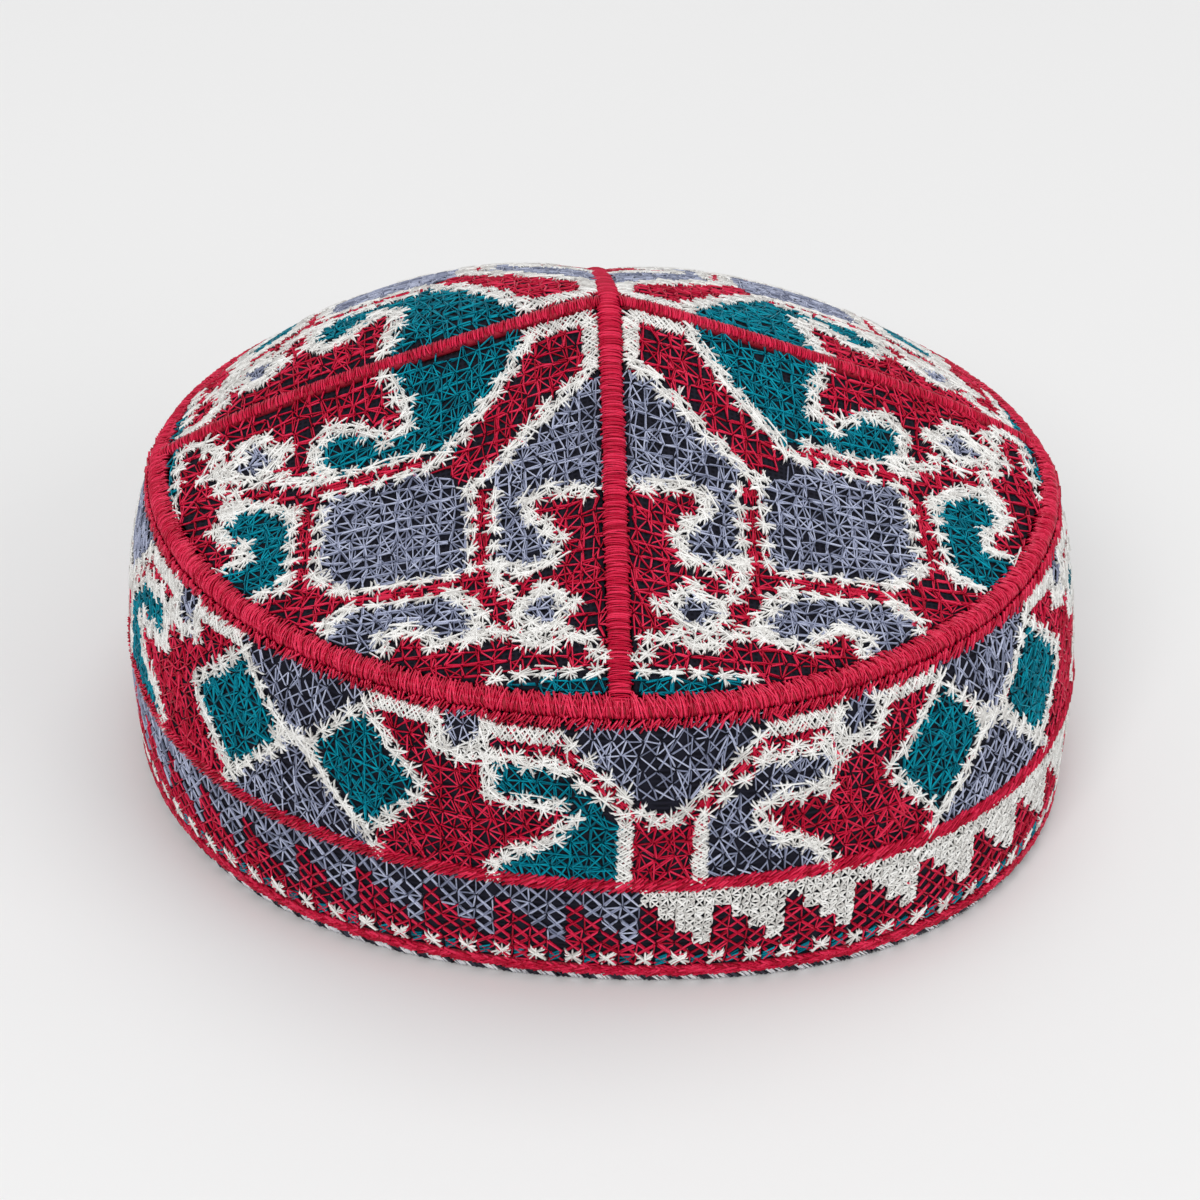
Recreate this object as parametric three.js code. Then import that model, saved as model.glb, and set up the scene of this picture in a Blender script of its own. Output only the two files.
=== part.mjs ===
// Low tent-shaped embroidered cap: four cloth gores joined by satin ribs, a piped crown
// edge, a straight side band with two couched lines, and a whipped hem.
// Millimetres, +Z up. The origin is the centre of the footprint, in the plane the hem
// rests on. -Y is the front seam and +X the right-hand seam of someone facing the front.
import * as THREE from "three";

// Crown: plan size at the edge, height of that edge in front, how much lower it lies at
// the back and how soon behind the side ribs it drops, and the tent above it
const CROWN_HALF_WIDTH = 88;
const CROWN_HALF_LENGTH = 90;
const BAND_HEIGHT = 62;
const BACK_EDGE_DROP = 4;
const DROP_POWER = 0.5;
const CROWN_RISE = 34;
const APEX_ROUNDING = 5;
const EDGE_ROLL = 0.15;

// Between its ribs each gore sags or domes: how far out it does so most, as a share of
// the way to the edge, and how sharply the cloth leaves a rib
const SAG_DEEPEST_AT = 0.6;
const RIB_FLARE = 1.6;

// Side band: plan size at the hem, how square and how skew the soft hem lies, and how
// far the wall swells out between crown and hem
const HEM_HALF_WIDTH = 92;
const HEM_HALF_LENGTH = 87.5;
const HEM_SQUARENESS = 1.7;
const HEM_SKEW = -2.5;
const BAND_SWELL = 5;
const SWELL_FULLNESS = 0.6;

// Cloth and trims
const CLOTH = 1.8;
const CLEARANCE = 0.3;
const RIB_WIDTH = 4.2;
const SIDE_RIB_WIDTH = 3.6;
const RIB_PROUD = 1.1;
const PIPING_DIAMETER = 3.8;
const BAND_LINE_WIDTH = 1.8;
const BAND_LINE_HEIGHT = 26;
const HEM_LINE_WIDTH = 1.8;
const HEM_LINE_HEIGHT = 4.3;
const HEM_EDGING_HEIGHT = 2.6;
const HEM_EDGING_WIDTH = 2.6;

// Directions in which the ribs leave the apex, in degrees from +X. The side ribs sit a
// little askew, as in a cap that was pieced by hand.
const RIB_ANGLES = { right: 5, back: 90, left: 181, front: 270, rightAgain: 365 };

// The gores in the order they go round, with the sag beside the rib each starts from and
// beside the rib it ends at. The front gores sag, and the back ones dome (below 0).
const GORES = [
  { name: "back_right", from: "right", to: "back", sagFrom: -2, sagTo: -2 },
  { name: "back_left", from: "back", to: "left", sagFrom: -3, sagTo: -5 },
  { name: "front_left", from: "left", to: "front", sagFrom: 6.5, sagTo: 6.5 },
  { name: "front_right", from: "front", to: "rightAgain", sagFrom: 6.5, sagTo: 6.5 },
];

// Mesh steps
const EDGE_STEPS = 72;
const GORE_ANGLE_STEPS = 14;
const GORE_LENGTH_STEPS = 14;
const RIB_STEPS = 18;
const BAND_ROWS = 8;

// Half-round rib section: across as a share of half the width, up as a share of the
// height proud of the cloth (above 0) or of the cloth thickness (below 0)
const RIB_SECTION = [
  { across: -0.9, up: -1 },
  { across: 0.9, up: -1 },
  { across: 1, up: 0.1 },
  { across: 0.55, up: 0.85 },
  { across: 0, up: 1 },
  { across: -0.55, up: 0.85 },
  { across: -1, up: 0.1 },
];

const radians = THREE.MathUtils.degToRad;
const TURN = 2 * Math.PI;

function ellipseRadius(angle, halfWidth, halfLength) {
  return 1 / Math.hypot(Math.cos(angle) / halfWidth, Math.sin(angle) / halfLength);
}

function crownEdgeRadius(angle) {
  return ellipseRadius(angle, CROWN_HALF_WIDTH, CROWN_HALF_LENGTH);
}

function hemRadius(angle) {
  const oval = ellipseRadius(angle, HEM_HALF_WIDTH + HEM_SQUARENESS, HEM_HALF_LENGTH + HEM_SQUARENESS);
  return oval - HEM_SQUARENESS * Math.cos(4 * angle) + HEM_SKEW * Math.sin(2 * angle);
}

// Height of the crown edge, level round the front and lower at the back
function crownEdgeHeight(angle) {
  return BAND_HEIGHT - BACK_EDGE_DROP * Math.max(0, Math.sin(angle)) ** DROP_POWER;
}

// Most that the cloth sags in a direction: nothing on a rib, and full between two ribs
function goreSag(angle) {
  const first = radians(RIB_ANGLES.right);
  const turned = first + THREE.MathUtils.euclideanModulo(angle - first, TURN);
  const gore = GORES.find(({ to }) => turned <= radians(RIB_ANGLES[to])) ?? GORES[GORES.length - 1];
  const start = radians(RIB_ANGLES[gore.from]);
  const end = radians(RIB_ANGLES[gore.to]);
  const share = (turned - start) / (end - start);
  const away = 1 - (1 - Math.sin(Math.PI * share)) ** RIB_FLARE;
  return away * THREE.MathUtils.lerp(gore.sagFrom, gore.sagTo, share);
}

// Outer surface of the crown: ridges fall almost straight from the apex and roll over at
// the edge, and the cloth between them sags or domes
function crownHeight(x, y) {
  const angle = Math.atan2(y, x);
  const edge = crownEdgeRadius(angle);
  const rounding = APEX_ROUNDING / edge;
  const reach = Math.min(Math.hypot(x, y) / edge, 1);
  const softReach = (Math.hypot(reach, rounding) - rounding) / (Math.hypot(1, rounding) - rounding);
  const fall = (softReach + EDGE_ROLL * softReach ** 5) / (1 + EDGE_ROLL);
  const power = SAG_DEEPEST_AT / (1 - SAG_DEEPEST_AT);
  const deepest = SAG_DEEPEST_AT ** power * (1 - SAG_DEEPEST_AT);
  const sag = (goreSag(angle) * reach ** power * (1 - reach)) / deepest;
  const edgeHeight = crownEdgeHeight(angle);
  return THREE.MathUtils.lerp(BAND_HEIGHT + CROWN_RISE, edgeHeight, fall) - sag;
}

function crownNormal(x, y) {
  const step = 0.5;
  const slopeX = (crownHeight(x + step, y) - crownHeight(x - step, y)) / (2 * step);
  const slopeY = (crownHeight(x, y + step) - crownHeight(x, y - step)) / (2 * step);
  return new THREE.Vector3(-slopeX, -slopeY, 1).normalize();
}

function crownPoint(x, y, depth) {
  const point = new THREE.Vector3(x, y, crownHeight(x, y));
  return point.addScaledVector(crownNormal(x, y), -depth);
}

// Outer surface of the side band, from the crown edge (share 0) down to the hem (share 1)
function bandRadius(angle, share) {
  const straight = THREE.MathUtils.lerp(crownEdgeRadius(angle), hemRadius(angle), share);
  return straight + BAND_SWELL * (4 * share * (1 - share)) ** SWELL_FULLNESS;
}

function polarPoint(radius, angle, height) {
  return new THREE.Vector3(radius * Math.cos(angle), radius * Math.sin(angle), height);
}

function meshGeometry(points, triangles) {
  const solid = triangles.filter(([a, b, c]) => {
    const sideA = points[b].clone().sub(points[a]);
    const sideB = points[c].clone().sub(points[a]);
    return sideA.cross(sideB).length() > 1e-6;
  });
  const corners = solid.flat().map((index) => points[index]);
  return new THREE.BufferGeometry().setFromPoints(corners);
}

// Closed body from rings of points with the same count. A loop joins its last ring to
// its first; an open run is closed by a flat cap at each end.
function loft(rings, isLoop) {
  const count = rings[0].length;
  const triangles = [];
  const spans = isLoop ? rings.length : rings.length - 1;
  for (let ring = 0; ring < spans; ring += 1) {
    const here = ring * count;
    const there = ((ring + 1) % rings.length) * count;
    for (let index = 0; index < count; index += 1) {
      const next = (index + 1) % count;
      triangles.push([here + index, here + next, there + index]);
      triangles.push([here + next, there + next, there + index]);
    }
  }
  if (!isLoop) {
    const last = (rings.length - 1) * count;
    for (let index = 1; index < count - 1; index += 1) {
      triangles.push([0, index + 1, index]);
      triangles.push([last, last + index, last + index + 1]);
    }
  }
  return meshGeometry(rings.flat(), triangles);
}

// Closed wall between two grids of points, such as the outer and inner face of cloth
function wall(outer, inner, isLoop) {
  const rows = outer.length;
  const columns = outer[0].length;
  const points = [...outer.flat(), ...inner.flat()];
  const innerStart = rows * columns;
  const triangles = [];
  const quad = (a, b, c, d) => triangles.push([a, b, c], [a, c, d]);
  const spans = isLoop ? rows : rows - 1;
  for (let row = 0; row < spans; row += 1) {
    const here = row * columns;
    const there = ((row + 1) % rows) * columns;
    for (let column = 0; column < columns - 1; column += 1) {
      const [a, b, c, d] = [here + column, here + column + 1, there + column + 1, there + column];
      quad(a, b, c, d);
      quad(innerStart + a, innerStart + d, innerStart + c, innerStart + b);
    }
    const end = columns - 1;
    quad(here, there, innerStart + there, innerStart + here);
    quad(there + end, here + end, innerStart + here + end, innerStart + there + end);
  }
  if (!isLoop) {
    const last = (rows - 1) * columns;
    for (let column = 0; column < columns - 1; column += 1) {
      quad(column + 1, column, innerStart + column, innerStart + column + 1);
      quad(last + column, last + column + 1, innerStart + last + column + 1, innerStart + last + column);
    }
  }
  return meshGeometry(points, triangles);
}

// One gore: a fan of lines from its corner at the apex to the crown edge piping
function crownPanel(fromRib, toRib) {
  const startAngle = radians(fromRib.angle);
  const endAngle = radians(toRib.angle);
  const corner = goreCorner(fromRib, toRib);
  const outer = [];
  const inner = [];
  for (let step = 0; step <= GORE_ANGLE_STEPS; step += 1) {
    const angle = THREE.MathUtils.lerp(startAngle, endAngle, step / GORE_ANGLE_STEPS);
    const length = lengthToPiping(corner, angle);
    const outerLine = [];
    const innerLine = [];
    for (let mark = 0; mark <= GORE_LENGTH_STEPS; mark += 1) {
      const along = (length * mark) / GORE_LENGTH_STEPS;
      const x = corner.x + along * Math.cos(angle);
      const y = corner.y + along * Math.sin(angle);
      outerLine.push(crownPoint(x, y, 0));
      innerLine.push(crownPoint(x, y, CLOTH));
    }
    outer.push(outerLine);
    inner.push(innerLine);
  }
  return wall(outer, inner, false);
}

// The gore's corner lies clear of both ribs
function goreCorner(fromRib, toRib) {
  const start = radians(fromRib.angle);
  const end = radians(toRib.angle);
  const fromGap = fromRib.width / 2 + CLEARANCE;
  const toGap = toRib.width / 2 + CLEARANCE;
  const spread = Math.sin(end - start);
  const alongStart = (toGap + fromGap * Math.cos(end - start)) / spread;
  const x = alongStart * Math.cos(start) - fromGap * Math.sin(start);
  const y = alongStart * Math.sin(start) + fromGap * Math.cos(start);
  return new THREE.Vector2(x, y);
}

function lengthToPiping(corner, angle) {
  let short = 0;
  let long = 2 * Math.max(CROWN_HALF_WIDTH, CROWN_HALF_LENGTH);
  for (let pass = 0; pass < 40; pass += 1) {
    const middle = (short + long) / 2;
    const x = corner.x + middle * Math.cos(angle);
    const y = corner.y + middle * Math.sin(angle);
    const limit = crownEdgeRadius(Math.atan2(y, x)) - PIPING_DIAMETER / 2 - CLEARANCE;
    if (Math.hypot(x, y) < limit) short = middle;
    else long = middle;
  }
  return short;
}

// Ring of the half-round rib section, square to the ridge at a signed distance along it
function ribSection(along, direction, width) {
  const step = 0.5;
  const ridge = (distance) => crownHeight(distance * direction.x, distance * direction.y);
  const slope = (ridge(along + step) - ridge(along - step)) / (2 * step);
  const up = new THREE.Vector3(-slope * direction.x, -slope * direction.y, 1).normalize();
  const across = new THREE.Vector3(-direction.y, direction.x, 0);
  const top = new THREE.Vector3(along * direction.x, along * direction.y, ridge(along));
  return RIB_SECTION.map((row) => {
    const rise = row.up * (row.up > 0 ? RIB_PROUD : CLOTH);
    return top.clone().addScaledVector(across, (row.across * width) / 2).addScaledVector(up, rise);
  });
}

// A rib between two signed distances from the apex axis, along one direction
function crownRib(angle, width, start, end, steps) {
  const direction = new THREE.Vector2(Math.cos(radians(angle)), Math.sin(radians(angle)));
  const rings = [];
  for (let step = 0; step <= steps; step += 1) {
    const along = THREE.MathUtils.lerp(start, end, step / steps);
    rings.push(ribSection(along, direction, width));
  }
  return loft(rings, false);
}

// Closed ring whose round section follows a path given by angle
function roundLoop(pathPoint, diameter, sides) {
  const rings = [];
  for (let step = 0; step < EDGE_STEPS; step += 1) {
    const angle = (TURN * step) / EDGE_STEPS;
    const centre = pathPoint(angle);
    const outward = new THREE.Vector3(Math.cos(angle), Math.sin(angle), 0);
    const ring = [];
    for (let side = 0; side < sides; side += 1) {
      const turn = (TURN * (side + 0.5)) / sides;
      const point = centre.clone().addScaledVector(outward, (Math.cos(turn) * diameter) / 2);
      point.z += (Math.sin(turn) * diameter) / 2;
      ring.push(point);
    }
    rings.push(ring.reverse());
  }
  return loft(rings, true);
}

// The piping's centre lies in the middle of the cloth's thickness
function crownEdgePiping() {
  const path = (angle) => polarPoint(crownEdgeRadius(angle), angle, crownEdgeHeight(angle) - CLOTH / 2);
  return roundLoop(path, PIPING_DIAMETER, 8);
}

// Share of the way down the band at a height above the rest plane
function bandShare(angle, height) {
  return 1 - height / crownEdgeHeight(angle);
}

function sideBand() {
  const bottom = HEM_EDGING_HEIGHT + CLEARANCE;
  const outer = [];
  const inner = [];
  for (let step = 0; step < EDGE_STEPS; step += 1) {
    const angle = (TURN * step) / EDGE_STEPS;
    const top = crownEdgeHeight(angle) - CLOTH / 2 - PIPING_DIAMETER / 2 - CLEARANCE;
    const outerLine = [];
    const innerLine = [];
    for (let row = 0; row <= BAND_ROWS; row += 1) {
      const height = THREE.MathUtils.lerp(bottom, top, row / BAND_ROWS);
      const radius = bandRadius(angle, bandShare(angle, height));
      outerLine.push(polarPoint(radius, angle, height));
      innerLine.push(polarPoint(radius - CLOTH, angle, height));
    }
    outer.push(outerLine.reverse());
    inner.push(innerLine.reverse());
  }
  return wall(outer, inner, true);
}

// A line of couched thread that lies on the band at one height
function bandCord(height, width) {
  const path = (angle) => {
    const radius = bandRadius(angle, bandShare(angle, height)) + width / 2 + CLEARANCE;
    return polarPoint(radius, angle, height);
  };
  return roundLoop(path, width, 6);
}

// Hem edging: flat below, rounded above, as wide as the whipped edge
function hemEdging() {
  const half = HEM_EDGING_WIDTH / 2;
  const section = [
    { out: -half, up: 0 },
    { out: half * 0.7, up: 0 },
    { out: half, up: HEM_EDGING_HEIGHT * 0.3 },
    { out: half, up: HEM_EDGING_HEIGHT * 0.8 },
    { out: half * 0.7, up: HEM_EDGING_HEIGHT },
    { out: -half, up: HEM_EDGING_HEIGHT },
  ];
  const rings = [];
  for (let step = 0; step < EDGE_STEPS; step += 1) {
    const angle = (TURN * step) / EDGE_STEPS;
    const middle = hemRadius(angle) - CLOTH / 2;
    rings.push(section.map((row) => polarPoint(middle + row.out, angle, row.up)).reverse());
  }
  return loft(rings, true);
}

function part(name, geometry, material) {
  geometry.computeVertexNormals();
  const mesh = new THREE.Mesh(geometry, material);
  mesh.name = name;
  return mesh;
}

const crownCloth = new THREE.MeshStandardMaterial({ color: "#7d2036", roughness: 0.85, metalness: 0 });
const bandCloth = new THREE.MeshStandardMaterial({ color: "#74263a", roughness: 0.85, metalness: 0 });
const crimsonSatin = new THREE.MeshStandardMaterial({ color: "#cd1437", roughness: 0.4, metalness: 0 });
const crimsonChain = new THREE.MeshStandardMaterial({ color: "#c01435", roughness: 0.5, metalness: 0 });
const hemWhipping = new THREE.MeshStandardMaterial({ color: "#8a8a90", roughness: 0.6, metalness: 0 });

const ribs = {
  right: { angle: RIB_ANGLES.right, width: SIDE_RIB_WIDTH },
  back: { angle: RIB_ANGLES.back, width: RIB_WIDTH },
  left: { angle: RIB_ANGLES.left, width: SIDE_RIB_WIDTH },
  front: { angle: RIB_ANGLES.front, width: RIB_WIDTH },
  rightAgain: { angle: RIB_ANGLES.rightAgain, width: SIDE_RIB_WIDTH },
};

const cap = new THREE.Group();
for (const gore of GORES) {
  const panel = crownPanel(ribs[gore.from], ribs[gore.to]);
  cap.add(part(`crown_panel_${gore.name}`, panel, crownCloth));
}

const ribEnd = PIPING_DIAMETER / 2 + CLEARANCE;
const longReach = CROWN_HALF_LENGTH - ribEnd;
const longRib = crownRib(RIB_ANGLES.back, RIB_WIDTH, -longReach, longReach, 2 * RIB_STEPS);
cap.add(part("crown_rib_front_back", longRib, crimsonSatin));
for (const side of ["left", "right"]) {
  const angle = radians(RIB_ANGLES[side]);
  const slant = (Math.abs(Math.sin(angle)) * SIDE_RIB_WIDTH) / 2;
  const start = (RIB_WIDTH / 2 + CLEARANCE + slant) / Math.abs(Math.cos(angle));
  const end = crownEdgeRadius(angle) - ribEnd;
  const sideRib = crownRib(RIB_ANGLES[side], SIDE_RIB_WIDTH, start, end, RIB_STEPS);
  cap.add(part(`crown_rib_${side}`, sideRib, crimsonSatin));
}
cap.add(part("crown_edge_piping", crownEdgePiping(), crimsonSatin));
cap.add(part("side_band", sideBand(), bandCloth));
cap.add(part("band_line_cord", bandCord(BAND_LINE_HEIGHT, BAND_LINE_WIDTH), crimsonChain));
cap.add(part("hem_line_cord", bandCord(HEM_LINE_HEIGHT, HEM_LINE_WIDTH), crimsonChain));
cap.add(part("hem_edging", hemEdging(), hemWhipping));

export default cap;
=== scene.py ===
import math

import bpy
import numpy as np
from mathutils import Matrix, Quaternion, Vector


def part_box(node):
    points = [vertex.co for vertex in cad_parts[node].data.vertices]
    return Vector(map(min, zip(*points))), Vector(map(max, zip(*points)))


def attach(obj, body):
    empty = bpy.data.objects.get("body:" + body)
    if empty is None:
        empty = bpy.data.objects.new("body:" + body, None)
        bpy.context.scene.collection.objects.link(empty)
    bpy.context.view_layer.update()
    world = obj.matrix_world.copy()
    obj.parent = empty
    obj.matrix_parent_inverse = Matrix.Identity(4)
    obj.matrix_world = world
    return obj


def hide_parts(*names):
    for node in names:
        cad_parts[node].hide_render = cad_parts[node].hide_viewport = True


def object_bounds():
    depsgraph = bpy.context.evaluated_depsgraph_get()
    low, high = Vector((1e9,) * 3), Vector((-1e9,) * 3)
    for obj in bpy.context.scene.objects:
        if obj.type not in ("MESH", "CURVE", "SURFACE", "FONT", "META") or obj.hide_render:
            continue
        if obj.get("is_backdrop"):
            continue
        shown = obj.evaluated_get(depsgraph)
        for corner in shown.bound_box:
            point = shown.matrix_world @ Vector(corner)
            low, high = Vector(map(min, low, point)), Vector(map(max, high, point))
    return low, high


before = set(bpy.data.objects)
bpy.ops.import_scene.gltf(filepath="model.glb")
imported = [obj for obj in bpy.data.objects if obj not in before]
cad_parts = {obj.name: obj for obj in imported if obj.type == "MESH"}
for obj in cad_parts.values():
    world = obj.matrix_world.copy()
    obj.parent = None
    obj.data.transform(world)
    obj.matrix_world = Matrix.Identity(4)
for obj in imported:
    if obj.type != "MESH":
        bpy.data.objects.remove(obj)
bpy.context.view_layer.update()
bpy.ops.object.select_all(action="DESELECT")

# Crown cloth: four gores of dark navy plain-weave cotton, each a right-angled quarter of
# the crown. The seams between them are taut ridges from the apex to the edge. The cloth
# between the ridges sags in the two front gores and domes in the two back ones, where
# the crown's edge also lies lower.
MM = 0.001
CLOTH = 1.8 * MM
CLEARANCE = 0.3 * MM
PIPING_RADIUS = 1.9 * MM
RIB_PROUD = 1.1 * MM
RIB_HALF = {"main": 2.1 * MM, "side": 1.8 * MM}
APEX_ROUNDING = 5 * MM
EDGE_ROLL = 0.15
DROP_POWER = 0.5
RIB_BOUNDS = np.radians([5, 90, 181, 270, 365])
GORES = [
    {"name": "front_left", "side": 181, "main": 270, "area": 0.0064},
    {"name": "front_right", "side": 365, "main": 270, "area": 0.0068},
    {"name": "back_right", "side": 5, "main": 90, "area": 0.0061},
    {"name": "back_left", "side": 181, "main": 90, "area": 0.0066},
]
# Sag between two ribs, beside the rib where a gore starts and beside the one where it
# ends, from the right-hand rib round by the back
SAG_FROM = np.array([-2, -3, 6.5, 6.5]) * MM
SAG_TO = np.array([-2, -5, 6.5, 6.5]) * MM
SAG_FULLNESS = 1.6
SAG_POWER = 1.5
# Where the sag is deepest, as a share of the way from the apex to the edge
SAG_PEAK = 0.6
SLOPE_STEP = 0.5 * MM

piping_low, piping_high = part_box("crown_edge_piping")
piping_flat = PIPING_RADIUS * math.cos(math.pi / 8)
edge_half_width = piping_high.x - piping_flat
edge_half_length = piping_high.y - piping_flat
edge_height = piping_high.z - piping_flat + CLOTH / 2
back_drop = piping_high.z - piping_low.z - 2 * piping_flat
apex_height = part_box("crown_rib_front_back")[1].z - RIB_PROUD


def edge_radius(angle):
    return 1 / np.hypot(np.cos(angle) / edge_half_width, np.sin(angle) / edge_half_length)


def crown_edge_height(angle):
    return edge_height - back_drop * np.maximum(0, np.sin(angle)) ** DROP_POWER


def piping_height(angle):
    return crown_edge_height(angle) - CLOTH / 2


def gore_sag(angle):
    turned = np.mod(angle - RIB_BOUNDS[0], 2 * math.pi) + RIB_BOUNDS[0]
    place = np.interp(turned, RIB_BOUNDS, range(5))
    gore = np.minimum(place.astype(int), 3)
    share = place - gore
    away = 1 - (1 - np.sin(np.pi * share)) ** SAG_FULLNESS
    return away * (SAG_FROM[gore] * (1 - share) + SAG_TO[gore] * share)


def crown_height(x, y):
    angle = np.arctan2(y, x)
    edge = edge_radius(angle)
    rounding = APEX_ROUNDING / edge
    reach = np.minimum(np.hypot(x, y) / edge, 1)
    soft = (np.hypot(reach, rounding) - rounding) / (np.hypot(1, rounding) - rounding)
    fall = (soft + EDGE_ROLL * soft**5) / (1 + EDGE_ROLL)
    sag = gore_sag(angle) * reach**SAG_POWER * (1 - reach)
    sag /= SAG_PEAK**SAG_POWER * (1 - SAG_PEAK)
    return apex_height + (crown_edge_height(angle) - apex_height) * fall - sag


def unit_length(vectors):
    return vectors / np.linalg.norm(vectors, axis=-1, keepdims=True)


def crown_surface(x, y):
    step = SLOPE_STEP
    slope_x = (crown_height(x + step, y) - crown_height(x - step, y)) / (2 * step)
    slope_y = (crown_height(x, y + step) - crown_height(x, y - step)) / (2 * step)
    normal = unit_length(np.stack([-slope_x, -slope_y, np.ones_like(slope_x)], -1))
    return np.stack([x, y, crown_height(x, y)], -1), normal


def vertex_points(piece):
    points = np.zeros(len(piece.data.vertices) * 3)
    piece.data.vertices.foreach_get("co", points)
    return points.reshape(-1, 3)


def move_vertices(piece, points):
    piece.data.vertices.foreach_set("co", np.ascontiguousarray(points).ravel())
    piece.data.update()


def grid_piece(name, columns, rows):
    bpy.ops.mesh.primitive_grid_add(x_subdivisions=columns, y_subdivisions=rows, size=1)
    piece = bpy.context.object
    piece.name = piece.data.name = name
    points = vertex_points(piece) + 0.5
    return piece, points[:, 0], points[:, 1]


def weld(piece):
    bpy.ops.object.mode_set(mode="EDIT")
    bpy.ops.mesh.select_all(action="SELECT")
    bpy.ops.mesh.remove_doubles(threshold=0.00002)
    bpy.ops.object.mode_set(mode="OBJECT")
    bpy.ops.object.shade_smooth()


def thicken_inwards(piece, thickness):
    solid = piece.modifiers.new("cloth thickness", "SOLIDIFY")
    solid.thickness = thickness
    solid.offset = -1
    bpy.ops.object.modifier_apply(modifier=solid.name)


def set_flat_map(piece, flat_of):
    """The map that the weave and the bake follow, from each corner's place."""
    piece.data.uv_layers.new(name="OFBake")
    corners = np.zeros(len(piece.data.loops), np.int64)
    piece.data.loops.foreach_get("vertex_index", corners)
    flat = flat_of(vertex_points(piece)[corners])
    piece.data.uv_layers["OFBake"].data.foreach_set("uv", flat.ravel())


def new_material(name, roughness):
    material = bpy.data.materials.new(name)
    material.use_nodes = True
    nodes, links = material.node_tree.nodes, material.node_tree.links
    shader = nodes["Principled BSDF"]
    shader.inputs["Roughness"].default_value = roughness
    return material, nodes, links, shader


ground_cloth, nodes, links, shader = new_material("ground_cloth", 0.88)
shader.inputs["Specular IOR Level"].default_value = 0.12
flat_map = nodes.new("ShaderNodeUVMap")
flat_map.uv_map = "OFBake"
weave_ways = []
for way in ("X", "Y"):
    wave = nodes.new("ShaderNodeTexWave")
    wave.bands_direction = way
    wave.inputs["Scale"].default_value = 34
    wave.inputs["Distortion"].default_value = 0.6
    wave.inputs["Detail Scale"].default_value = 2
    links.new(flat_map.outputs["UV"], wave.inputs["Vector"])
    weave_ways.append(wave)
weave = nodes.new("ShaderNodeMath")
weave.operation = "MAXIMUM"
links.new(weave_ways[0].outputs["Fac"], weave.inputs[0])
links.new(weave_ways[1].outputs["Fac"], weave.inputs[1])
cloth_colour = nodes.new("ShaderNodeValToRGB")
cloth_colour.color_ramp.elements[0].color = (0.003, 0.003, 0.006, 1)
cloth_colour.color_ramp.elements[1].color = (0.011, 0.011, 0.019, 1)
links.new(weave.outputs["Value"], cloth_colour.inputs["Fac"])
links.new(cloth_colour.outputs["Color"], shader.inputs["Base Color"])
weave_bump = nodes.new("ShaderNodeBump")
weave_bump.inputs["Distance"].default_value = 0.0002
weave_bump.inputs["Strength"].default_value = 0.6
links.new(weave.outputs["Value"], weave_bump.inputs["Height"])
links.new(weave_bump.outputs["Normal"], shader.inputs["Normal"])


def gore_corner(start, end, start_gap, end_gap):
    """Where a gore's corner lies when it keeps clear of both its ribs."""
    along = (end_gap + start_gap * math.cos(end - start)) / math.sin(end - start)
    x = along * math.cos(start) - start_gap * math.sin(start)
    y = along * math.sin(start) + start_gap * math.cos(start)
    return x, y


def length_to_piping(corner_x, corner_y, angle):
    """How far the cloth reaches from its corner, found by halving."""
    short = np.zeros_like(angle)
    long = np.full_like(angle, 2 * edge_half_length)
    for _ in range(30):
        middle = (short + long) / 2
        x = corner_x + middle * np.cos(angle)
        y = corner_y + middle * np.sin(angle)
        limit = edge_radius(np.arctan2(y, x)) - PIPING_RADIUS - CLEARANCE
        within = np.hypot(x, y) < limit
        short = np.where(within, middle, short)
        long = np.where(within, long, middle)
    return short


for gore in GORES:
    ends = sorted([(math.radians(gore[kind]), RIB_HALF[kind]) for kind in ("side", "main")])
    (start, start_half), (end, end_half) = ends
    piece, out, around = grid_piece(f"crown_cloth_{gore['name']}", 44, 44)
    angle = start + (end - start) * around
    corner_x, corner_y = gore_corner(start, end, start_half + CLEARANCE, end_half + CLEARANCE)
    length = length_to_piping(corner_x, corner_y, angle) * out
    x = corner_x + length * np.cos(angle)
    y = corner_y + length * np.sin(angle)
    move_vertices(piece, crown_surface(x, y)[0])
    weld(piece)
    thicken_inwards(piece, CLOTH)

    def gore_flat(points, start=start):
        x, y = points[:, 0], points[:, 1]
        along = x * math.cos(start) + y * math.sin(start)
        across = y * math.cos(start) - x * math.sin(start)
        return np.stack([along + 0.01, across + 0.01], -1) / 0.12

    set_flat_map(piece, gore_flat)
    piece.data.materials.append(ground_cloth)
    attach(piece, "root")
    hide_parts(f"crown_panel_{gore['name']}")

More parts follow.
